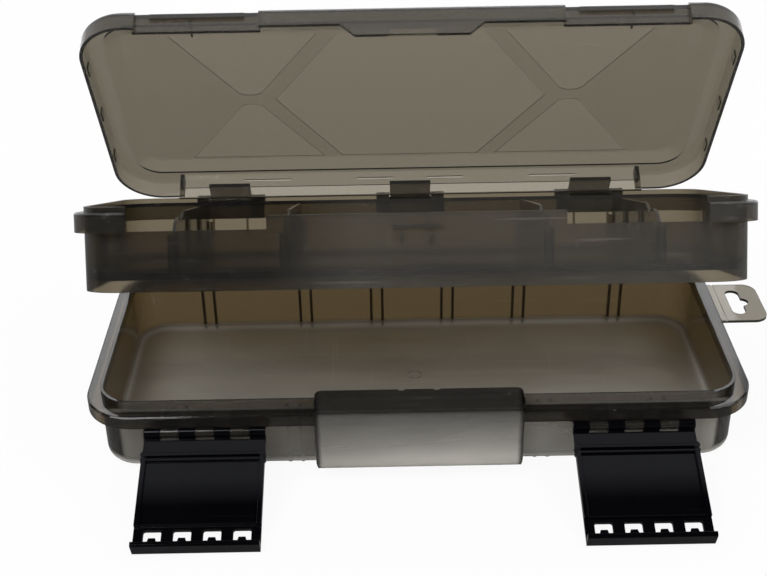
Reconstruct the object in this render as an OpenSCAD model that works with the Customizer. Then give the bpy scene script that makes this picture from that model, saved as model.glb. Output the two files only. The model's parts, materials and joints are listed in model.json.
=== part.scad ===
// Two-layer fishing tackle cabinet: a base box, a hinged tray and a hinged lid,
// shown open. Each shell is drawn closed, about its own floor, and then turned
// about its rear hinge. X is the width, Y runs from front to rear, Z is up.

/* [Body] */
// Width over the flanges
body_w = 350; // [340:5:380]
// Depth over the flanges
body_d = 150; // [140:5:190]
// Plan radius of the flange corners
corner_r = 26; // [24:1:30]
// Thickness of the moulded walls and floors
wall_t = 2; // [1.8:0.1:2.2]
// How far the base wall sits inside its flange
base_inset = 7; // [7:0.5:8]

/* [Layers] */
// Height of the base, floor to ledge
base_h = 38; // [34:1:44]
// Height of the tray, lower edge to ledge
tray_h = 40; // [38:1:42]
// Gap between two closed layers
seat_gap = 0.4; // [0.3:0.1:0.5]
// Height of the tray floor above its lower edge
tray_lift = 6; // [5.5:0.5:7]

/* [Pose] */
// How far the tray is open
tray_open = 25; // [0:1:75]
// How far the lid is open from the tray
lid_open = 37; // [0:1:105]
// How far the latches are open
latch_open = 111; // [0:1:111]

/* [Latches] */
// Width of a latch
latch_w = 63; // [60:1:64]
// Distance of each latch from the middle
latch_x = 111; // [110:1:112]

/* [Hinges] */
// Distance of the outer hinges from the middle
hinge_x = 109; // [100:1:115]
// Width of one hinge
hinge_w = 41; // [36:1:44]
// Radius of the steel pins
pin_r = 1.25; // [1:0.05:1.5]
// Running clearance round a pin
pin_gap = 0.06; // [0.02:0.01:0.1]

/* [Hidden] */
$fn = 72;

front_y = -body_d / 2;
rear_y = body_d / 2;
smoke = [0.30, 0.28, 0.25];
smoke_dark = [0.22, 0.21, 0.20];
black = [0.05, 0.05, 0.06];
steel = [0.70, 0.70, 0.72];

// Flanges, tongues and fillets, as distances in from the flange outline
skirt_t = 1.8;
base_skirt_h = 7;
base_wall_in = base_inset + wall_t;
tongue_out = base_inset + 0.4;
tongue_h = 4.5;
outer_fillet = 6;
inner_fillet = 5;
floor_run = 16;
join = 0.5;

tray_inset = 5;
tray_wall_in = tray_inset + wall_t;
tray_skirt_h = 10;
tray_tongue_h = 3;
tray_floor_top = tray_lift + wall_t;
tray_fillet = 4;
tray_run = 12;
// The front wall stands free of the flange between the corners
flange_end_x = 145;
front_mid_x = 75;
front_mid_top = tray_h - 2.5;
front_seat_top = tray_h - 9.5;

lid_skirt_h = 12;
lid_round = 3;
lid_border = 11;
lid_slope = 8;
lid_rise = 3.5;
lid_run = lid_border + lid_slope + 3;
panel_top = lid_skirt_h + lid_rise;
panel_step = 0.14;
lid_seat_w = 64;
lid_seat_in = 3.6;
// Between these ends the lid's rear wall stands further in
notch_half = 137;
notch_in = 8;
notch_wall_in = notch_in + skirt_t;
lid_lip_h = 7;

// Rear hinges: both axes stand behind the flanges at the height of a parting line
knuckle_r = 3.3;
hinge_off = 4.5;
end_knuckle = 8;
knuckle_gap = 0.3;
hinge_y = rear_y + hinge_off;
tray_z = base_h + seat_gap;
lid_z = tray_h + seat_gap;

// Latch pivot, under the front flange
pivot_y = front_y + 1;
pivot_z = base_h - 10.5;
latch_knuckle_r = 3;
latch_pin_r = 1.2;
latch_inner = -1.4;
latch_t = 2;
latch_outer = latch_inner - latch_t;
hook_t = 3;
hook_gap = 0.7;
lid_shoulder_z = tray_z + lid_z + lid_skirt_h;
latch_l = lid_shoulder_z + hook_gap + hook_t - pivot_z;
lug_w = 9.8;
latch_knuckle_w = (latch_w - 3 * lug_w) / 4;
latch_pitch = latch_knuckle_w + lug_w;

rib_x = [-124, -65, -21.5, 21.5, 65, 124];
rib_w = 1.6;
rib_d = 2.2;
base_slot = 5.2;
divider_x = [-122, -66, 66, 122];
divider_t = 1.6;
divider_gap = 0.3;
// Ribs for a partition that runs along the tray, in pairs at front and rear
cross_rib_y = 22;
cross_rib_off = 3.2;

function arc(cx, cy, r, a0, a1, n = 6) =
    [for (i = [0:n]) [cx + r * cos(a0 + (a1 - a0) * i / n), cy + r * sin(a0 + (a1 - a0) * i / n)]];

// The outline of a line of width w through points p, with mitred corners
function left_of(a, b) = [a[1] - b[1], b[0] - a[0]] / norm(b - a);
function mitre(u, v) = (u + v) / (1 + u * v);
function side_step(p, i) = let (last = len(p) - 1)
    mitre(left_of(p[max(i - 1, 0)], p[max(i, 1)]),
        left_of(p[min(i, last - 1)], p[min(i + 1, last)]));
function line_outline(p, w) = concat(
    [for (i = [0:len(p) - 1]) p[i] + side_step(p, i) * w / 2],
    [for (i = [len(p) - 1:-1:0]) p[i] - side_step(p, i) * w / 2]);

// ---- shared shapes ----

module rounded_plate(inset, z0, z1) {
    w = body_w - 2 * inset;
    d = body_d - 2 * inset;
    r = corner_r - inset;
    translate([0, 0, z0]) linear_extrude(z1 - z0) {
        square([w - 2 * r, d], center = true);
        square([w, d - 2 * r], center = true);
        for (sx = [-1, 1], sy = [-1, 1])
            translate([sx * (w / 2 - r), sy * (d / 2 - r)]) circle(r);
    }
}

// Carries a wall section round the flange outline: x is the way in, y is up
module around() {
    along_x = body_w - 2 * corner_r;
    along_y = body_d - 2 * corner_r;
    for (turn = [0, 180])
        rotate([0, 0, turn]) translate([-along_x / 2, front_y, 0])
            rotate([90, 0, 90]) linear_extrude(along_x) children();
    for (turn = [90, 270])
        rotate([0, 0, turn]) translate([-along_y / 2, -body_w / 2, 0])
            rotate([90, 0, 90]) linear_extrude(along_y) children();
    for (q = [0:3]) {
        sx = (q == 0 || q == 3) ? 1 : -1;
        sy = q < 2 ? 1 : -1;
        translate([sx * along_x / 2, sy * along_y / 2, 0]) rotate([0, 0, 90 * q])
            rotate_extrude(angle = 90) translate([corner_r, 0]) mirror([1, 0]) children();
    }
}

module along_width(x0, x1) {
    translate([x0, 0, 0]) rotate([90, 0, 90]) linear_extrude(x1 - x0) children();
}

module block(x0, x1, y0, y1, z0, z1) {
    translate([x0, y0, z0]) cube([x1 - x0, y1 - y0, z1 - z0]);
}

// A hinge knuckle on an arm that reaches from y = root to the axis
module knuckle(x0, x1, root, arm_z0, arm_z1, bore_r) {
    along_width(x0, x1) difference() {
        union() {
            circle(knuckle_r);
            translate([root, arm_z0]) square([-root, arm_z1 - arm_z0]);
        }
        circle(bore_r);
    }
}

module end_knuckles(z, root, arm_z0, arm_z1) {
    for (hx = [-hinge_x, 0, hinge_x], s = [-1, 1])
        translate([hx + s * (hinge_w - end_knuckle) / 2, hinge_y, z])
            knuckle(-end_knuckle / 2, end_knuckle / 2, root, arm_z0, arm_z1, pin_r);
}

module middle_knuckles(z, root, arm_z0, arm_z1) {
    half = hinge_w / 2 - end_knuckle - knuckle_gap;
    for (hx = [-hinge_x, 0, hinge_x])
        translate([hx, hinge_y, z]) knuckle(-half, half, root, arm_z0, arm_z1, pin_r + pin_gap);
}

module hinge_pin(x, z) {
    color(steel) translate([x, hinge_y, z])
        along_width(-hinge_w / 2, hinge_w / 2) circle(pin_r);
}

// ---- placing the tray, the lid and the latches ----

module on_tray() {
    translate([0, hinge_y, tray_z]) rotate([-tray_open, 0, 0]) translate([0, -hinge_y, 0])
        children();
}

module on_lid() {
    on_tray() translate([0, hinge_y, lid_z]) rotate([-lid_open, 0, 0])
        translate([0, -hinge_y, 0]) children();
}

module on_latch(side) {
    translate([side * latch_x, pivot_y, pivot_z]) rotate([latch_open, 0, 0]) children();
}

// ---- base ----

module base_section() {
    skirt_bottom = base_h - base_skirt_h;
    polygon(concat(
        [[0, skirt_bottom], [0, base_h - 0.8], [0.8, base_h], [tongue_out, base_h],
         [tongue_out, base_h + tongue_h], [base_wall_in, base_h + tongue_h]],
        arc(base_wall_in + inner_fillet, wall_t + inner_fillet, inner_fillet, 180, 270),
        [[floor_run, wall_t], [floor_run, 0]],
        arc(base_inset + outer_fillet, outer_fillet, outer_fillet, 270, 180),
        [[base_inset, base_h - wall_t], [skirt_t, base_h - wall_t], [skirt_t, skirt_bottom]]));
}

// Pairs of ribs that hold an upright partition
module rib_pairs(xs, slot, wall_y, z0, z1) {
    for (x = xs, side = [-1, 1], s = [-1, 1])
        translate([x + side * (slot + rib_w) / 2, s * (wall_y - rib_d / 2 + join / 2), z0])
            translate([-rib_w / 2, -(rib_d + join) / 2, 0])
                cube([rib_w, rib_d + join, z1 - z0]);
}

module latch_lugs(side) {
    reach = pivot_y - front_y;
    for (i = [-1:1])
        translate([side * latch_x + i * latch_pitch, pivot_y, pivot_z])
            along_width(-lug_w / 2 + knuckle_gap, lug_w / 2 - knuckle_gap)
                difference() {
                    union() {
                        circle(latch_knuckle_r);
                        translate([0, -latch_knuckle_r])
                            square([base_inset - reach + join, 2 * latch_knuckle_r]);
                        square([base_inset - reach + join, base_h - wall_t - pivot_z + join]);
                    }
                    circle(latch_pin_r);
                }
}

module base_shell() {
    mark_r = 4.3;
    mark_y = 12;
    mark_line = 0.9;
    mark_depth = 0.8;
    color(smoke) difference() {
        union() {
            around() base_section();
            rounded_plate(floor_run - join, 0, wall_t);
            rib_pairs(rib_x, base_slot, rear_y - base_wall_in, wall_t - join, base_h);
            end_knuckles(tray_z, -hinge_off - join, -knuckle_r, -seat_gap);
            for (side = [-1, 1]) latch_lugs(side);
        }
        hang_tab_plate(0);
        translate([0, mark_y, wall_t - mark_depth]) difference() {
            cylinder(r = mark_r, h = 1);
            translate([0, 0, -1]) cylinder(r = mark_r - mark_line, h = 3);
        }
    }
}

module latch_pin(side) {
    color(steel) translate([side * latch_x, pivot_y, pivot_z])
        along_width(-latch_w / 2, latch_w / 2) circle(latch_pin_r);
}

// ---- front grip ----

grip_w = 108;
grip_face = front_y - 6;
grip_bottom = 6;
grip_shoulder = base_h + 4.6;
grip_top = base_h + 12;
grip_back = front_y + tray_inset - 0.6;
grip_t = 1.8;
grip_round = 4;

module grip_outline(t) {
    foot = front_y + base_inset;
    r = grip_round - t;
    edge_r = t > 0 ? 0.6 : 1.2;
    polygon(concat(
        [[foot, grip_bottom + t], [foot, base_h - base_skirt_h], [front_y, base_h - base_skirt_h],
         [front_y, base_h], [grip_back - t, base_h], [grip_back - t, grip_top - 1.6 * t],
         [grip_back - 3, grip_top - 1.2 * t - 0.4]],
        arc(grip_face + t + edge_r, grip_shoulder - t / 3, edge_r, 100, 180, 4),
        arc(grip_face + grip_round, grip_bottom + grip_round, r, 180, 270)));
}

// The grip's section, with its two ends rounded as seen from above and from the front
module grip_solid(t) {
    half = grip_w / 2 - t;
    r = grip_round - t;
    front = grip_face + t;
    intersection() {
        along_width(-half, half) grip_outline(t);
        linear_extrude(grip_top + 1) {
            translate([-half, front + r]) square([2 * half, base_inset - grip_face + front_y]);
            translate([-half + r, front]) square([2 * (half - r), r]);
            for (s = [-1, 1]) translate([s * (half - r), front + r]) circle(r);
        }
        translate([0, front_y + base_inset + 1, 0]) rotate([90, 0, 0])
            linear_extrude(base_inset - grip_face + front_y + 2) {
                square([2 * (half - r), 2 * (grip_top - t)], center = true);
                translate([-half, grip_bottom + t + r])
                    square([2 * half, grip_top - grip_bottom - 2 * (t + r)]);
                for (s = [-1, 1], z = [grip_bottom + t + r, grip_top - t - r])
                    translate([s * (half - r), z]) circle(r);
            }
    }
}

module front_grip() {
    notch_x = 9;
    half_notch = 1.5;
    color(smoke) difference() {
        grip_solid(0);
        grip_solid(grip_t);
        for (s = [-1, 1])
            block(s * notch_x - half_notch, s * notch_x + half_notch,
                grip_back - 1, grip_back + 1, grip_top - 0.8, grip_top + 1);
    }
}

// ---- hang tab ----

tab_y = 31;
tab_len = 40;
tab_reach = 28;
tab_t = 1.6;
slot_len = 26;
slot_w = 8;

module hang_tab_plate(open) {
    x0 = body_w / 2 - base_inset;
    x1 = body_w / 2 + tab_reach;
    r = 8;
    y0 = tab_y - tab_len / 2;
    y1 = tab_y + tab_len / 2;
    slot_x = x1 - 15;
    translate([0, 0, base_h - wall_t - tab_t]) linear_extrude(tab_t) difference() {
        union() {
            translate([x0, y0]) square([x1 - r - x0, tab_len]);
            translate([x0, y0 + r]) square([x1 - x0, tab_len - 2 * r]);
            for (y = [y0 + r, y1 - r]) translate([x1 - r, y]) circle(r);
        }
        if (open) translate([slot_x, tab_y]) {
            square([slot_w, slot_len - slot_w], center = true);
            for (s = [-1, 1]) translate([0, s * (slot_len - slot_w) / 2]) circle(slot_w / 2);
            translate([slot_w / 2 - 0.5, 0]) circle(4);
        }
    }
}

module hang_tab() {
    groove_x = body_w / 2 + 3;
    color(smoke) difference() {
        hang_tab_plate(1);
        block(groove_x, groove_x + 1, tab_y - tab_len, tab_y + tab_len,
            base_h - wall_t - 0.5, base_h);
    }
}

// ---- latches ----

module latch_knuckles() {
    for (i = [0:3])
        translate([(i - 1.5) * latch_pitch, 0, 0])
            along_width(-latch_knuckle_w / 2, latch_knuckle_w / 2) difference() {
                union() {
                    circle(latch_knuckle_r);
                    translate([latch_outer, 0]) square([-latch_outer, latch_knuckle_r]);
                }
                circle(latch_pin_r + pin_gap);
            }
}

// Four windows with round corners, and a tongue that stands in each from the tip's side
module latch_windows() {
    window_w = 9;
    window_pitch = 14.8;
    window_z0 = latch_l - 11.5;
    window_h = 7;
    window_r = 1.2;
    tongue_tip = 1.7;
    tongue_root = 2.9;
    tongue_l = 3;
    for (i = [0:3])
        translate([(i - 1.5) * window_pitch, latch_inner + 1, window_z0]) rotate([90, 0, 0])
            linear_extrude(latch_t + 2) difference() {
                translate([0, window_h / 2]) {
                    square([window_w, window_h - 2 * window_r], center = true);
                    square([window_w - 2 * window_r, window_h], center = true);
                    for (sx = [-1, 1], sz = [-1, 1])
                        translate([sx * (window_w / 2 - window_r), sz * (window_h / 2 - window_r)])
                            circle(window_r);
                }
                polygon([[-tongue_tip, window_h - tongue_l], [tongue_tip, window_h - tongue_l],
                    [tongue_root, window_h + 1], [-tongue_root, window_h + 1]]);
            }
}

// Two bars run across the inner face near the pivot, with round ears at their ends
module latch_bars() {
    half = latch_w / 2;
    // Each bar from, to and how far in it stands
    bars = [[12.2, 14, 0.8], [15.2, 16.6, 0.1]];
    ear_r = [1.7, 1.4];
    ear_out = 0.7;
    for (k = [0, 1]) {
        mid = (bars[k][0] + bars[k][1]) / 2;
        block(-half, half, latch_inner - join, bars[k][2], bars[k][0], bars[k][1]);
        for (s = [-1, 1])
            translate([s * (half + ear_out - ear_r[k]), latch_outer, mid]) rotate([-90, 0, 0])
                cylinder(r = ear_r[k], h = bars[k][2] - latch_outer);
    }
}

module latch_body() {
    half = latch_w / 2;
    rail_w = 2.4;
    rail_in = 0.6;
    rail_z0 = 13;
    window_z = latch_l - 13.5;
    hook_in = 5;
    neck_r = 3.1;
    difference() {
        block(-half, half, latch_outer, latch_inner, 2, latch_l);
        latch_windows();
        // Room for the lugs between the knuckles
        for (i = [-1:1])
            block(i * latch_pitch - lug_w / 2, i * latch_pitch + lug_w / 2,
                latch_outer - 1, latch_inner + 1, 0, neck_r + 0.6);
    }
    for (s = [-1, 1])
        block(s * (half - rail_w / 2) - rail_w / 2, s * (half - rail_w / 2) + rail_w / 2,
            latch_inner - join, rail_in, rail_z0, window_z);
    latch_bars();
    block(-half, half, latch_inner - join, latch_inner + 0.8, window_z - 1.2, window_z);
    // The hook reaches in over the lid
    along_width(-half, half)
        polygon(concat(
            [[latch_inner - join, latch_l - hook_t], [hook_in, latch_l - hook_t + 0.6],
             [hook_in, latch_l - 0.8], [hook_in - 0.8, latch_l]],
            arc(latch_outer + 2, latch_l - 2, 2, 90, 180, 4),
            [[latch_outer, latch_l - hook_t]]));
    latch_knuckles();
}

module latch(side) {
    color(black) on_latch(side) latch_body();
}

// ---- tray ----

module tray_section() {
    skirt_bottom = tray_h - tray_skirt_h;
    polygon(concat(
        [[0, skirt_bottom], [0, tray_h - 0.8], [0.8, tray_h], [tray_inset, tray_h],
         [tray_inset, tray_h + tray_tongue_h], [tray_wall_in, tray_h + tray_tongue_h]],
        arc(tray_wall_in + tray_fillet, tray_floor_top + tray_fillet, tray_fillet, 180, 270, 4),
        [[tray_run, tray_floor_top], [tray_run, tray_lift], [tray_wall_in, tray_lift],
         [tray_wall_in, 0], [tray_inset, 0], [tray_inset, tray_h - wall_t],
         [skirt_t, tray_h - wall_t], [skirt_t, skirt_bottom]]));
}

// The latches and the lid's tongue pass in front of these stretches
module tray_front_cuts() {
    above = tray_h + tray_tongue_h + 1;
    seat_mid = (front_mid_x + flange_end_x) / 2;
    seat_half = (flange_end_x - front_mid_x) / 2;
    block(-flange_end_x, flange_end_x, front_y - 1, front_y + tray_inset,
        tray_h - tray_skirt_h - 1, above);
    block(-flange_end_x, flange_end_x, front_y - 1, front_y + tray_wall_in + 1,
        front_mid_top, above);
    for (s = [-1, 1])
        block(s * seat_mid - seat_half, s * seat_mid + seat_half,
            front_y - 1, front_y + tray_wall_in + 1, front_seat_top, above);
}

// Ribs on the two end walls, for partitions that run along the tray
module tray_end_ribs() {
    wall_x = body_w / 2 - tray_wall_in;
    for (s = [-1, 1], y = [-cross_rib_y, cross_rib_y], side = [-1, 1])
        translate([s * (wall_x - rib_d / 2 + join / 2), y + side * cross_rib_off, tray_floor_top - join])
            translate([-(rib_d + join) / 2, -rib_w / 2, 0])
                cube([rib_d + join, rib_w, tray_h - tray_floor_top - 4]);
}

module tray_clip() {
    clip_w = 24.8;
    clip_z = front_mid_top - 7.4;
    clip_out = front_y + 2.6;
    arm_x = 7.5;
    half_arm = 0.7;
    wall_face = front_y + tray_inset + join;
    block(-clip_w / 2, clip_w / 2, clip_out, wall_face, clip_z, clip_z + 1.5);
    for (s = [-1, 1])
        block(s * arm_x - half_arm, s * arm_x + half_arm,
            clip_out + 0.8, wall_face, clip_z - 8, clip_z + join);
}

// The lid's hinge arms pass through the rear tongue here
module tray_arm_gaps() {
    half = hinge_w / 2 - end_knuckle + knuckle_gap;
    for (hx = [-hinge_x, 0, hinge_x])
        block(hx - half, hx + half, rear_y - tray_wall_in - 1, rear_y - tray_inset + 1,
            tray_h, tray_h + tray_tongue_h + 1);
}

// Under each lid hinge: a solid gusset at both ends, a thicker wall between, and two legs
module tray_gussets() {
    gusset_z = tray_h - 10;
    thick = 2;
    leg_x = 10.2;
    leg_w = 1.1;
    leg_l = 10;
    wall_face = rear_y - tray_inset - join;
    top = tray_h - wall_t + join;
    for (hx = [-hinge_x, 0, hinge_x]) {
        block(hx - hinge_w / 2 + 1, hx + hinge_w / 2 - 1, wall_face, wall_face + thick, gusset_z, top);
        for (s = [-1, 1]) {
            end_x = hx + s * (hinge_w - end_knuckle) / 2;
            block(end_x - end_knuckle / 2, end_x + end_knuckle / 2,
                wall_face, rear_y - skirt_t + join, gusset_z, top);
            block(hx + s * leg_x - leg_w / 2, hx + s * leg_x + leg_w / 2,
                wall_face, wall_face + thick, gusset_z - leg_l, gusset_z + join);
        }
    }
}

module tray_shell() {
    rib_top = front_seat_top - 2;
    color(smoke_dark) on_tray() {
        difference() {
            union() {
                around() tray_section();
                rounded_plate(tray_run - join, tray_lift, tray_floor_top);
            }
            tray_front_cuts();
            tray_arm_gaps();
        }
        rib_pairs(divider_x, divider_t + 2 * divider_gap, rear_y - tray_wall_in,
            tray_floor_top - join, rib_top);
        tray_end_ribs();
        tray_clip();
        tray_gussets();
        middle_knuckles(0, -hinge_off - tray_inset - join, 0.6, knuckle_r);
        end_knuckles(lid_z, -hinge_off - join, -knuckle_r, -seat_gap);
    }
}

// ---- tray dividers ----

module divider_outline() {
    back = rear_y - tray_wall_in - divider_gap;
    front = -back;
    bottom = tray_floor_top;
    top = tray_h - 1;
    foot = tray_fillet + 0.3;
    drop = 16;
    drop_end = 34;
    // The lid's rear lip comes down behind the upper part
    room_behind = 1.4;
    room_below = 1.4;
    step_y = rear_y - notch_wall_in - room_behind;
    step_z = tray_h + seat_gap - lid_lip_h - room_below;
    polygon(concat(
        [[front, bottom + foot], [front + foot, bottom], [back - foot, bottom], [back, bottom + foot],
         [back, step_z], [step_y, step_z], [step_y, top], [front + drop_end, top]],
        arc(front + drop, front_seat_top - 2 - drop + 8, drop, 55, 180, 8)));
}

module tray_divider(i) {
    rib_t = 1;
    color(smoke_dark) on_tray() translate([divider_x[i], 0, 0]) {
        along_width(-divider_t / 2, divider_t / 2) divider_outline();
        for (y = [-cross_rib_y, cross_rib_y], side = [-cross_rib_off, cross_rib_off])
            block(-divider_t / 2 - rib_t, divider_t / 2 + rib_t, y + side - rib_w / 2,
                y + side + rib_w / 2, tray_floor_top, tray_h - 5);
    }
}

// ---- lid ----

module lid_section() {
    polygon(concat(
        [[0, 0]],
        arc(lid_round, lid_skirt_h - lid_round, lid_round, 180, 90, 5),
        [[lid_border, lid_skirt_h], [lid_border + lid_slope, panel_top], [lid_run, panel_top],
         [lid_run, panel_top - wall_t], [lid_border + lid_slope + 0.5, panel_top - wall_t],
         [lid_border + 0.5, lid_skirt_h - wall_t], [lid_round, lid_skirt_h - wall_t],
         [skirt_t, lid_skirt_h - wall_t - 1.2], [skirt_t, 0]]));
}

// Shallow fields on the inside of the panel, with a fine groove along their slanted
// sides, draw the cross pattern
module lid_fields() {
    y_end = body_d / 2 - lid_run;
    centre_end = 40;
    centre_point = 76;
    side_near = 51;
    side_far = 129;
    tip_x = 90;
    tip_half = 6;
    tip_flat = 2.5;
    tip_y = 5.5;
    tip_end_y = 4;
    line_w = 0.5;
    line_d = 0.35;
    inner = panel_top - wall_t;
    centre = [[centre_end, y_end], [centre_point, 0], [centre_end, -y_end]];
    tip = [[side_far, y_end], [tip_x + tip_half, tip_y], [tip_x + tip_flat, tip_end_y],
        [tip_x - tip_flat, tip_end_y], [tip_x - tip_half, tip_y], [side_near, y_end]];
    translate([0, 0, inner - 1]) {
        linear_extrude(1 + panel_step)
            polygon(concat(centre, [for (i = [2:-1:0]) [-centre[i][0], centre[i][1]]]));
        for (sx = [-1, 1]) {
            linear_extrude(1 + line_d)
                polygon(line_outline([for (p = centre) [sx * p[0], p[1]]], line_w));
            for (sy = [-1, 1]) {
                side = [for (p = tip) [sx * p[0], sy * p[1]]];
                linear_extrude(1 + panel_step) polygon(side);
                linear_extrude(1 + line_d) polygon(line_outline(side, line_w));
            }
        }
    }
}

// The front tongue drops in front of the tray's middle wall, with a shallow catch inside
module lid_tongue() {
    catch = [24.5, 1.2, 4];
    catch_z = -5;
    drop = 7.6;
    half_tip = 29.4;
    half_root = 39;
    root_z = 2;
    translate([0, front_y + skirt_t, 0]) difference() {
        rotate([90, 0, 0]) linear_extrude(skirt_t)
            polygon([[-half_tip, -drop], [half_tip, -drop], [half_root, root_z], [-half_root, root_z]]);
        translate([0, 0, catch_z]) cube(catch, center = true);
    }
}

// Each latch seat is a recess in the front skirt with a low ridge across it
module lid_seat_cut(side) {
    block(side * latch_x - lid_seat_w / 2, side * latch_x + lid_seat_w / 2,
        front_y - 1, front_y + lid_seat_in, -1, lid_skirt_h + 1);
}

module lid_seat_wall(side) {
    ridge_w = 49;
    ridge_out = 1.8;
    tick_x = side * 114.5;
    tick_l = 8;
    wall_y0 = front_y + lid_seat_in;
    wall_y1 = wall_y0 + skirt_t;
    block(side * latch_x - lid_seat_w / 2 - 1, side * latch_x + lid_seat_w / 2 + 1,
        wall_y0, wall_y1, 0, lid_skirt_h - 0.6);
    block(side * latch_x - ridge_w / 2, side * latch_x + ridge_w / 2,
        wall_y0 - ridge_out, wall_y0 + join, lid_skirt_h - 4.2, lid_skirt_h - 1.4);
    // A short rib stiffens the wall behind the hook
    block(tick_x - 0.5, tick_x + 0.5, wall_y1 - join, wall_y1 + tick_l,
        lid_skirt_h - wall_t - 5, lid_skirt_h - wall_t + join);
}

module lid_side_marks() {
    mark_l = 7;
    mark_h = 4.8;
    mark_t = 0.6;
    skirt_x = body_w / 2 - skirt_t;
    for (s = [-1, 1], y = [-38, 0, 38])
        translate([s * skirt_x, y, mark_h])
            cube([2 * mark_t, mark_l, mark_h], center = true);
}

module lid_notch_cut() {
    block(-notch_half, notch_half, rear_y - notch_in, rear_y + 1, -1, lid_skirt_h + 1);
}

// The inset rear wall, thinner along four dashes, and its two end walls. A thin lip
// reaches down inside the tray, and the end walls stop above the tray's tongue.
module lid_notch_wall() {
    reach = notch_half + skirt_t;
    end_z = 3.4;
    lip_t = 1.2;
    dashes = [[86, 28], [21, 22]];
    dash_depth = 0.7;
    dash_z = 4;
    dash_h = 1.5;
    inner_face = rear_y - notch_wall_in;
    block(-reach, reach, rear_y - notch_in - lip_t, rear_y - notch_in, -lid_lip_h, join);
    difference() {
        block(-reach, reach, inner_face, rear_y - notch_in, 0, lid_skirt_h - join);
        for (s = [-1, 1], dash = dashes)
            block(s * dash[0] - dash[1] / 2, s * dash[0] + dash[1] / 2,
                inner_face - 1, inner_face + dash_depth, dash_z, dash_z + dash_h);
    }
    for (x = [-reach, notch_half])
        along_width(x, x + skirt_t) translate([rear_y, 0]) mirror([1, 0])
            polygon(concat([[0, end_z]],
                arc(lid_round, lid_skirt_h - lid_round, lid_round, 180, 90, 5),
                [[notch_wall_in, lid_skirt_h], [notch_wall_in, end_z]]));
}

module lid_shell() {
    color(smoke) on_lid() {
        difference() {
            union() {
                around() lid_section();
                rounded_plate(lid_run - join, panel_top - wall_t, panel_top);
            }
            lid_fields();
            for (side = [-1, 1]) lid_seat_cut(side);
            lid_notch_cut();
        }
        for (side = [-1, 1]) lid_seat_wall(side);
        lid_notch_wall();
        lid_tongue();
        lid_side_marks();
        middle_knuckles(0, -hinge_off - notch_in - join, 0.6, knuckle_r);
    }
}

base_shell();
front_grip();
hang_tab();
latch(-1);  // latch_left
latch(1);  // latch_right
latch_pin(-1);  // latch_pin_left
latch_pin(1);  // latch_pin_right
tray_shell();
tray_divider(0);  // tray_divider_1
tray_divider(1);  // tray_divider_2
tray_divider(2);  // tray_divider_3
tray_divider(3);  // tray_divider_4
hinge_pin(-hinge_x, tray_z);  // tray_hinge_pin_left
hinge_pin(0, tray_z);  // tray_hinge_pin_middle
hinge_pin(hinge_x, tray_z);  // tray_hinge_pin_right
lid_shell();
on_tray() hinge_pin(-hinge_x, lid_z);  // lid_hinge_pin_left
on_tray() hinge_pin(0, lid_z);  // lid_hinge_pin_middle
on_tray() hinge_pin(hinge_x, lid_z);  // lid_hinge_pin_right
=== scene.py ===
# %% [markdown]
# A fishing tackle cabinet of smoke-tinted plastic, standing open: a base box, a tray
# and a lid on wire hinges, two black latches, a grip and a hang tab. Shells like these
# could be built here from boxes with extrude and bevel. But hinges, hooks and rims
# only work where they match closely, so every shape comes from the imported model,
# already in place and in metres. This script gives those pieces their finish, and the
# scene its camera and light.

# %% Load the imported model
import json
import math

import bpy
from mathutils import Matrix, Vector

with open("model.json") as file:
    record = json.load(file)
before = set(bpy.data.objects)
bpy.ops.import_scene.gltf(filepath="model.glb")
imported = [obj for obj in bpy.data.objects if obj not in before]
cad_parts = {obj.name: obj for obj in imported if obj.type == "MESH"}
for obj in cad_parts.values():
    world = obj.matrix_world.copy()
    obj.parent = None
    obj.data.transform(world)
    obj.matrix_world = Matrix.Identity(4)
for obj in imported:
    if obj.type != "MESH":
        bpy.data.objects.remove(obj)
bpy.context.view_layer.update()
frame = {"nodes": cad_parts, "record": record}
nodes = frame["nodes"]

MM = 0.001

# %% [markdown]
# The camera stands in front of the cabinet and looks down on it by about thirty
# degrees. Its place was found by matching edges of the object, and its lens is long
# enough that the lid and the base keep nearly the same width.

# %% Camera
CAMERA_AT = Vector((-17.2, -615.3, 434.3)) * MM
LOOK_DOWN = math.radians(30.74)
CAMERA_ROLL = math.radians(-1.06)
FOCAL_PX = 1300
IMAGE_PX = 767
SENSOR_MM = 36

camera_data = bpy.data.cameras.new("camera")
camera_data.sensor_width = SENSOR_MM
camera_data.sensor_fit = "HORIZONTAL"
camera_data.lens = FOCAL_PX * SENSOR_MM / IMAGE_PX
camera = bpy.data.objects.new("camera", camera_data)
bpy.context.scene.collection.objects.link(camera)
camera.rotation_mode = "XYZ"
camera.location = CAMERA_AT
view = Vector((0, math.cos(LOOK_DOWN), -math.sin(LOOK_DOWN)))
turn = view.to_track_quat("-Z", "Y")
camera.rotation_euler = (turn.to_matrix() @ Matrix.Rotation(CAMERA_ROLL, 3, "Z")).to_euler()
bpy.context.scene.camera = camera
print("lens", round(camera_data.lens, 1), "mm")

# %% [markdown]
# Every finish below is a small network of nodes. Written out, such networks are many
# lines that look alike, so a few helpers keep them short. The first adds a node, with
# its settings, its numbers and its wires. The next makes a material with nothing in
# it yet. The last three mix two numbers, two colours or two shaders.

# %% Nodes and mixes
def put(tree, kind, inputs=None, **settings):
    made = tree.nodes.new("ShaderNode" + kind)
    for name, value in settings.items():
        setattr(made, name, value)
    for socket, value in (inputs or {}).items():
        if isinstance(value, bpy.types.NodeSocket):
            tree.links.new(value, made.inputs[socket])
        else:
            made.inputs[socket].default_value = value
    return made


def empty_material(name):
    material = bpy.data.materials.new(name)
    material.use_nodes = True
    material.node_tree.nodes.clear()
    return material, material.node_tree


def mix_numbers(tree, share, first, second):
    return put(tree, "Mix", {0: share, 2: first, 3: second}).outputs[0]


def mix_colours(tree, share, first, second):
    mixed = put(tree, "Mix", {0: share, 6: first, 7: second}, data_type="RGBA")
    return mixed.outputs[2]


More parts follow.
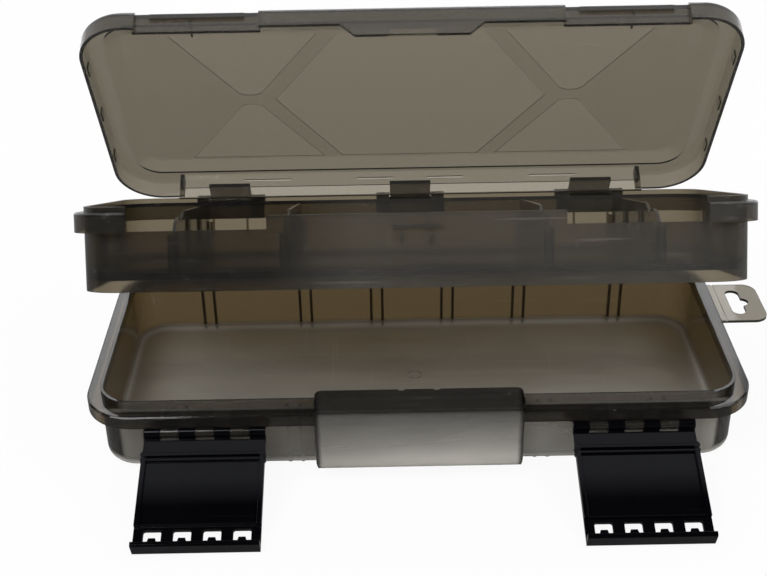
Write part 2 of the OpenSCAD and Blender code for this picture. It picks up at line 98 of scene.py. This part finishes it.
def mix_shaders(tree, share, first, second):
    sockets = {0: share, 1: first.outputs[0], 2: second.outputs[0]}
    return put(tree, "MixShader", sockets).outputs[0]


print("nodes and mixes ready")

# %% [markdown]
# A finish differs from place to place, and the next helpers give numbers that do.
# They start from a piece's own coordinates, so a pattern stays with its piece when
# the piece moves. One gives a plain coordinate. One gives streaks, which are noise
# stretched one way, as marks of moulding and wear are. The rest do sums: they combine
# two numbers, turn one range into another, spread noise between two levels, and fade
# from one level to another over a span of millimetres.

# %% Patterns and sums
NOISE_RANGE = 0.3, 0.7


def place(tree, axis):
    spot = put(tree, "TexCoord").outputs["Object"]
    return put(tree, "SeparateXYZ", {0: spot}).outputs[axis]


def streaks(tree, scale, stretch, turn=(0, 0, 0), detail=2.0):
    spot = put(tree, "TexCoord").outputs["Object"]
    laid = put(tree, "Mapping", {"Vector": spot, "Rotation": turn, "Scale": stretch})
    noise = {"Vector": laid.outputs[0], "Scale": scale, "Detail": detail}
    return put(tree, "TexNoise", noise).outputs[0]


def combine(tree, first, second, how="ADD"):
    return put(tree, "Math", {0: first, 1: second}, operation=how).outputs[0]


def between(tree, value, low, high, to_low, to_high):
    return put(tree, "MapRange", {
        "Value": value, "From Min": low, "From Max": high,
        "To Min": to_low, "To Max": to_high}).outputs[0]


def spread(tree, noise, low, high):
    return between(tree, noise, *NOISE_RANGE, low, high)


def over_span(tree, axis, span_mm, first, last):
    start, end = (edge * MM for edge in span_mm)
    return between(tree, place(tree, axis), start, end, first, last)


print("noise is taken to lie between", *NOISE_RANGE)

# %% [markdown]
# No moulded edge is quite sharp, and a box in use gets fine scratches. Both are finer
# than a mesh needs to be, so they are made in the shading. A bevel node bends the
# normals near an edge, so that it catches the light. Scratches are the peaks alone of
# two stretched noises, a few degrees off the box's own sides. The photograph doesn't
# show any, so they are invented.

# %% Soft edges and scratches
BEVEL_SAMPLES = 4
SCRATCH_SCALE = 420
SCRATCH_LEVEL = 0.66
SCRATCH_BLUR = 0.08
LONG_IN_X = (0.03, 1, 1)
LONG_IN_Y = (1, 0.03, 1)
ALONG_TURN = (0, 0, math.radians(7))
ACROSS_TURN = (0, 0, math.radians(-12))


def soft_edges(tree, radius, height, strength, depth):
    bevel = put(tree, "Bevel", {"Radius": radius}, samples=BEVEL_SAMPLES)
    return put(tree, "Bump", {
        "Normal": bevel.outputs[0], "Height": height,
        "Strength": strength, "Distance": depth}).outputs[0]


def scratches(tree):
    along = streaks(tree, SCRATCH_SCALE, LONG_IN_X, ALONG_TURN)
    across = streaks(tree, SCRATCH_SCALE, LONG_IN_Y, ACROSS_TURN)
    either = combine(tree, along, across, "MAXIMUM")
    return between(tree, either, SCRATCH_LEVEL, SCRATCH_LEVEL + SCRATCH_BLUR, 0, 1)


print("scratches start at noise", SCRATCH_LEVEL)

# %% [markdown]
# Smoke-tinted plastic is clear, and light fades along its way inside it. A wall seen
# edge-on is therefore darker than one seen face-on, and two walls are darker than
# one. A colour painted on the surface couldn't do that. A refracting surface with an
# absorbing volume inside the closed shell does it by itself. Each finish says how
# fast red, green and blue fade, per metre of plastic, which was tuned until the
# picture came near the photograph. Refraction would stop the light of the lamps, so
# their shadow rays go straight through.
#
# The moulding isn't perfect. Broad flow marks change its gloss a little, and a slight
# haze in the skin catches the lamps. The haze is the share of the skin that is milky
# and not clear. Each finish gives it as a function, because the photograph shows some
# places of a piece paler than others. Where a finish makes the haze differ from place
# to place, that is painted light and painted shade: the paler and darker places are
# light and reflection, and the real object's skin is not milkier there. Its levels
# were tuned to the photograph too.

# %% Smoke plastic
PLASTIC_IOR = 1.5
MILK_AND_PAINTED_LIGHT_COLOUR = (0.9, 0.86, 0.78, 1)
LAMPLIGHT_KEPT = (0.9, 0.9, 0.9, 1)
FADE_SCALE = 2000
SMOKE_ROUND = 0.35 * MM
FLOW_SCALE = 22
FLOW_STRETCH = (0.4, 1, 1)
FLOW_RELIEF = 0.03
FLOW_DEPTH = 0.2 * MM
GLOSS_SPREAD = 0.6, 1.5
HAZE_SPREAD = 0.8, 1.2
SCRATCH_ROUGH = 0.1
SCRATCH_MILK = 0.04


def smoke(name, fade_per_m, haze_and_painted_light, roughness):
    material, tree = empty_material(name)
    flow = streaks(tree, FLOW_SCALE, FLOW_STRETCH, detail=3)
    scratch = scratches(tree)
    gloss = spread(tree, flow, *(share * roughness for share in GLOSS_SPREAD))
    rough = combine(tree, gloss, combine(tree, scratch, SCRATCH_ROUGH, "MULTIPLY"))
    # Where the haze a finish gives differs from place to place, it is painted light and shade.
    uneven = combine(tree, haze_and_painted_light(tree), spread(tree, flow, *HAZE_SPREAD), "MULTIPLY")
    milk_and_painted_light = combine(tree, uneven, combine(tree, scratch, SCRATCH_MILK, "MULTIPLY"))
    skin = put(tree, "BsdfPrincipled", {
        "Base Color": MILK_AND_PAINTED_LIGHT_COLOUR, "Roughness": rough, "IOR": PLASTIC_IOR,
        "Transmission Weight": combine(tree, 1, milk_and_painted_light, "SUBTRACT"),
        "Normal": soft_edges(tree, SMOKE_ROUND, flow, FLOW_RELIEF, FLOW_DEPTH)})
    to_lamps = put(tree, "BsdfTransparent", {"Color": LAMPLIGHT_KEPT})
    is_shadow = put(tree, "LightPath").outputs["Is Shadow Ray"]
    surface = mix_shaders(tree, is_shadow, skin, to_lamps)
    tint = [1 - fade / FADE_SCALE for fade in fade_per_m]
    inside = put(tree, "VolumeAbsorption", {"Color": (*tint, 1), "Density": FADE_SCALE})
    put(tree, "OutputMaterial", {"Surface": surface, "Volume": inside.outputs[0]})
    print("made", name, "with", len(tree.nodes), "nodes")
    return material


# %% [markdown]
# The lid and the hang tab are the clearest pieces, so their haze is faint and even.

# %% Lid finish
LID_FADE = (700, 735, 815)
LID_ROUGH = 0.04
LID_HAZE = 0.04


def faint(tree):
    return LID_HAZE


smoke_clear = smoke("smoke_clear", LID_FADE, faint, LID_ROUGH)

# %% [markdown]
# The tray and its partitions are deeper in colour and less glossy. In the photograph
# the left part of the tray's front is darker than its middle. That darker left is
# painted shade: the haze is lower at the left and rises over a few centimetres to the
# middle's level, with no line between them.

# %% Tray finish
TRAY_FADE = (820, 890, 1040)
TRAY_ROUGH = 0.1
TRAY_HAZE_AND_PAINTED_SHADE = 0.017, 0.051
TRAY_PAINTED_SHADE_FADES = -75, -30


# Painted shade: less haze at the left makes the tray's front darker there.
def painted_shade_at_left(tree):
    return over_span(tree, "X", TRAY_PAINTED_SHADE_FADES, *TRAY_HAZE_AND_PAINTED_SHADE)


smoke_dark = smoke("smoke_dark", TRAY_FADE, painted_shade_at_left, TRAY_ROUGH)

# %% [markdown]
# The base is the deepest of the three. In the photograph its floor is paler than its
# walls, most of all along its edge, and so is the outside of its front wall at the
# right. Both are painted light, made with haze: a paler floor with a painted highlight
# along its edge, and a front wall that is paler at its foot and towards the right. A
# colour ramp over the height gives each one. Its stops are a height in mm and a haze.
# Only the outside of the front wall has the second one. The wall's other side, and the
# lugs that stand out from it, are left nearly clear.

# %% Base finish
BASE_FADE = (1100, 1240, 1540)
BASE_ROUGH = 0.05
RAMP_TOP = 50
# Painted light on the floor, and a painted highlight along its edge at the fillet.
FLOOR_PAINTED_LIGHT = [(2.2, 0.38), (3.6, 0.62), (7.5, 0.01)]
# Painted light on the outside of the front wall, paler towards its foot.
FRONT_PAINTED_LIGHT = [(0, 0.22), (27, 0.17), (31, 0.06), (50, 0.05)]
WALL_INSIDE = -67, -66
LUGS_BEGIN = -70, -69
RIGHT_BEGINS = -40, 40
CLEAR_SHARE = 0.1
RIGHT_SHARE = 1.5


def by_height(tree, stops):
    ramp = put(tree, "ValToRGB", {0: over_span(tree, "Z", (0, RAMP_TOP), 0, 1)})
    points = ramp.color_ramp.elements
    for point, (z, level) in ((points[0], stops[0]), (points[1], stops[-1])):
        point.position = z / RAMP_TOP
        point.color = (level, level, level, 1)
    for z, level in stops[1:-1]:
        points.new(z / RAMP_TOP).color = (level, level, level, 1)
    return ramp.outputs[0]


# Painted light on the floor and on the outside of the front wall, made with haze.
def painted_light_on_floor_and_front(tree):
    outside = over_span(tree, "Y", WALL_INSIDE, 1, CLEAR_SHARE)
    not_lugs = over_span(tree, "Y", LUGS_BEGIN, CLEAR_SHARE, 1)
    to_right = over_span(tree, "X", RIGHT_BEGINS, 1, RIGHT_SHARE)
    on_wall = combine(tree, outside, not_lugs, "MULTIPLY")
    share = combine(tree, on_wall, to_right, "MULTIPLY")
    front = combine(tree, by_height(tree, FRONT_PAINTED_LIGHT), share, "MULTIPLY")
    return combine(tree, by_height(tree, FLOOR_PAINTED_LIGHT), front, "MAXIMUM")


smoke_base = smoke("smoke_base", BASE_FADE, painted_light_on_floor_and_front, BASE_ROUGH)

# %% [markdown]
# The grip is the same plastic. In the photograph its face turns from dark at the
# shoulder to pale at its foot, and its rounded ends read as a dark outline. Here haze
# on the face is painted light, paler towards the foot, and the ends, kept clear of
# haze, are painted shade.

# %% Grip finish
GRIP_FADE = (1000, 1080, 1240)
GRIP_ROUGH = 0.1
# Painted light on the grip's face, paler towards its foot.
GRIP_PAINTED_LIGHT = [(6, 0.03), (8.5, 0.46), (13, 0.46), (22, 0.29), (41, 0.1), (43, 0.02), (50, 0.02)]
END_FROM = 50.5 * MM
END_BY = 53 * MM
END_SHARE = 0.05


# Painted light on the face, and painted shade at the rounded ends.
def painted_light_and_shade_on_grip(tree):
    aside = combine(tree, place(tree, "X"), 0, "ABSOLUTE")
    ends = between(tree, aside, END_FROM, END_BY, 1, END_SHARE)
    return combine(tree, by_height(tree, GRIP_PAINTED_LIGHT), ends, "MULTIPLY")


smoke_grip = smoke("smoke_grip", GRIP_FADE, painted_light_and_shade_on_grip, GRIP_ROUGH)

# %% [markdown]
# The latches are opaque black and highly polished. What is seen of them is nearly
# all reflection, so their colour matters less than a low roughness and soft edges.
# They stay nearly black even where they mirror something white, so the specular
# level is low. The fine scratches and slightly dulled places are invented.

# %% Black plastic
GRAIN_SCALE = 900
GRAIN_RELIEF = 0.01
GRAIN_DEPTH = 0.03 * MM
LATCH_FLOW_SCALE = 30
LATCH_FLOW_STRETCH = (1, 0.5, 1)
LATCH_ROUND = 0.6 * MM
LATCH_ROUGH = 0.012, 0.03
LATCH_SCUFF = 0.06
DEEP_BLACK = (0.001, 0.001, 0.0015, 1)
SOFT_BLACK = (0.003, 0.003, 0.004, 1)
COOL_GLOSS = (0.88, 0.9, 1, 1)


def black_plastic(name):
    material, tree = empty_material(name)
    grain = streaks(tree, GRAIN_SCALE, (1, 1, 1))
    flow = streaks(tree, LATCH_FLOW_SCALE, LATCH_FLOW_STRETCH, detail=3)
    scuff = combine(tree, scratches(tree), LATCH_SCUFF, "MULTIPLY")
    skin = put(tree, "BsdfPrincipled", {
        "Base Color": mix_colours(tree, flow, DEEP_BLACK, SOFT_BLACK),
        "Roughness": combine(tree, spread(tree, flow, *LATCH_ROUGH), scuff),
        "IOR": 1.48, "Specular IOR Level": 0.22, "Specular Tint": COOL_GLOSS,
        "Normal": soft_edges(tree, LATCH_ROUND, grain, GRAIN_RELIEF, GRAIN_DEPTH)})
    put(tree, "OutputMaterial", {"Surface": skin.outputs[0]})
    print("made", name, "with", len(tree.nodes), "nodes")
    return material


black = black_plastic("black_plastic")

# %% [markdown]
# The pins are plain drawn wire. Drawing leaves grain along the wire, which a noise
# stretched along its length gives, both in the gloss and as a faint relief.

# %% Pin steel
WIRE_SCALE = 1500
WIRE_STRETCH = (0.02, 1, 1)
WIRE_ROUND = 0.2 * MM
WIRE_RELIEF = 0.15
WIRE_DEPTH = 0.03 * MM
WIRE_ROUGH = 0.2, 0.42
WIRE_DARK = (0.42, 0.42, 0.43, 1)
WIRE_BRIGHT = (0.66, 0.66, 0.67, 1)


def drawn_wire(name):
    material, tree = empty_material(name)
    grain = streaks(tree, WIRE_SCALE, WIRE_STRETCH)
    skin = put(tree, "BsdfPrincipled", {
        "Base Color": mix_colours(tree, grain, WIRE_DARK, WIRE_BRIGHT),
        "Metallic": 1, "Roughness": spread(tree, grain, *WIRE_ROUGH),
        "Normal": soft_edges(tree, WIRE_ROUND, grain, WIRE_RELIEF, WIRE_DEPTH)})
    put(tree, "OutputMaterial", {"Surface": skin.outputs[0]})
    print("made", name, "with", len(tree.nodes), "nodes")
    return material


steel = drawn_wire("pin_steel")

# %% [markdown]
# The imported record names a material slot for every node, and a node gets the finish
# of its slot. The base and the grip share the lid's slot, because they look moulded
# in the same plastic, but each has painted light and shade in other places, and so a
# finish of its own.

# %% Give each node its finish
OF_SLOT = {"smoke_clear": smoke_clear, "smoke_dark": smoke_dark,
           "black_plastic": black, "pin_steel": steel}
OF_NODE = {"base_shell": smoke_base, "front_grip": smoke_grip}

for part in frame["record"]["subparts"]:
    finish = OF_NODE.get(part["node"], OF_SLOT[part["material_slot"]])
    piece = nodes[part["node"]]
    piece.data.materials.clear()
    piece.data.materials.append(finish)
print("finished", len(nodes), "nodes")

# %% [markdown]
# The cabinet stands on a white table before a white backdrop. More light on them
# would make them white and wash out the object too. Instead, table and backdrop glow
# for some kinds of ray only. Direct rays come from the camera or through clear
# plastic. The other kind is seen in gloss. A ray through rough plastic counts as
# glossy and as transmitted, so what is transmitted is taken out of the gloss.

# %% Kinds of ray
def kinds_of_ray(tree):
    rays = put(tree, "LightPath")
    through = rays.outputs["Is Transmission Ray"]
    direct = combine(tree, rays.outputs["Is Camera Ray"], through, "MAXIMUM")
    only_gloss = combine(tree, rays.outputs["Is Glossy Ray"], through, "SUBTRACT")
    return direct, combine(tree, only_gloss, 0, "MAXIMUM")


print("rays are direct or in gloss")

# %% [markdown]
# The table is a plain pale surface that takes shadows. To direct rays it is nearly
# all glow, and the little that isn't keeps the shadow. In gloss it is all glow, weak
# near the cabinet and full farther back, so the latches mirror a dark table and stay
# black. It lies a hair below the base, because two faces in one plane would fight.

# %% White table
TABLE_SIZE = 8
TABLE_DROP = 0.2 * MM
TABLE_GLOW = 0.93
GLOW_NEAR = 0.22
GLOW_RISES = 150, 600
TABLE_PAINT = (0.9, 0.9, 0.9, 1)

bpy.ops.object.select_all(action="DESELECT")
bpy.ops.mesh.primitive_plane_add(size=TABLE_SIZE, location=(0, 0, -TABLE_DROP))
table = bpy.context.object
table.name = "table"
white, tree = empty_material("table_white")
paint = put(tree, "BsdfPrincipled", {"Base Color": TABLE_PAINT, "Roughness": 0.8})
direct, in_gloss = kinds_of_ray(tree)
by_distance = over_span(tree, "Y", GLOW_RISES, GLOW_NEAR, 1)
glow = put(tree, "Emission", {"Strength": mix_numbers(tree, in_gloss, 1, by_distance)})
glowing = combine(tree, direct, TABLE_GLOW, "MULTIPLY")
share = combine(tree, glowing, in_gloss, "MAXIMUM")
put(tree, "OutputMaterial", {"Surface": mix_shaders(tree, share, paint, glow)})
table.data.materials.append(white)
print("table", table.dimensions[:])

# %% [markdown]
# Three lamps light the cabinet from the front left, the front right and behind. They
# are large, so shadows are soft, and low in power, so a colour comes out about as it
# is written.

# %% Lamps
LAMPS_LOOK_AT = Vector((0, 0, 0.08))


def lamp(name, at, size, power):
    data = bpy.data.lights.new(name, "AREA")
    data.size = size
    data.energy = power
    light = bpy.data.objects.new(name, data)
    light.location = at
    light.rotation_euler = (LAMPS_LOOK_AT - Vector(at)).to_track_quat("-Z", "Y").to_euler()
    bpy.context.scene.collection.objects.link(light)
    print("lamp", name, power, "W")


lamp("key", at=(-0.7, -0.7, 1.3), size=0.9, power=11)
lamp("fill", at=(0.9, -0.5, 0.9), size=0.9, power=5)
lamp("back", at=(0.0, 1.2, 1.0), size=1.2, power=7)

# %% [markdown]
# To the camera, the backdrop is white all round. Light that falls on the object from
# it is an even grey. Seen in gloss or through plastic, it is a studio with one bright
# side behind the cabinet and a dark side at the camera. The latches mirror the edge
# between the two, and the tray's front mirrors the dark side, which keeps the plastic
# deep. That edge leans back as it rises, and it bends back at the far left and right.
# All this was tuned to the photograph, whose real surroundings aren't known.

# %% Studio
ROOM = 0.44
DARK_SIDE = 0.004
BRIGHT_SIDE = 0.8
WHITE = 1.0
EDGE_LEAN = math.radians(81.5)
EDGE_BLUR = 0.01
BEND_FROM = 0.5

world = bpy.data.worlds.new("studio")
bpy.context.scene.world = world
world.use_nodes = True
sky = world.node_tree
sky.nodes.clear()
way = put(sky, "SeparateXYZ", {0: put(sky, "TexCoord").outputs["Generated"]})
back = combine(sky, way.outputs["Y"], math.sin(EDGE_LEAN), "MULTIPLY")
up = combine(sky, way.outputs["Z"], math.cos(EDGE_LEAN), "MULTIPLY")
aside = combine(sky, way.outputs["X"], 0, "ABSOLUTE")
bend = combine(sky, combine(sky, aside, BEND_FROM, "SUBTRACT"), 0, "MAXIMUM")
behind = combine(sky, combine(sky, back, up, "SUBTRACT"), bend, "SUBTRACT")
two_sides = between(sky, behind, -EDGE_BLUR, EDGE_BLUR, DARK_SIDE, BRIGHT_SIDE)
in_plastic = combine(sky, *kinds_of_ray(sky), "MAXIMUM")
around = mix_numbers(sky, in_plastic, ROOM, two_sides)
to_camera = put(sky, "LightPath").outputs["Is Camera Ray"]
level = mix_numbers(sky, to_camera, around, WHITE)
backdrop = put(sky, "Background", {"Color": (1, 1, 1, 1), "Strength": level})
put(sky, "OutputWorld", {"Surface": backdrop.outputs[0]})
bpy.context.scene.view_settings.view_transform = "Standard"
print("studio ready, with", len(sky.nodes), "nodes")
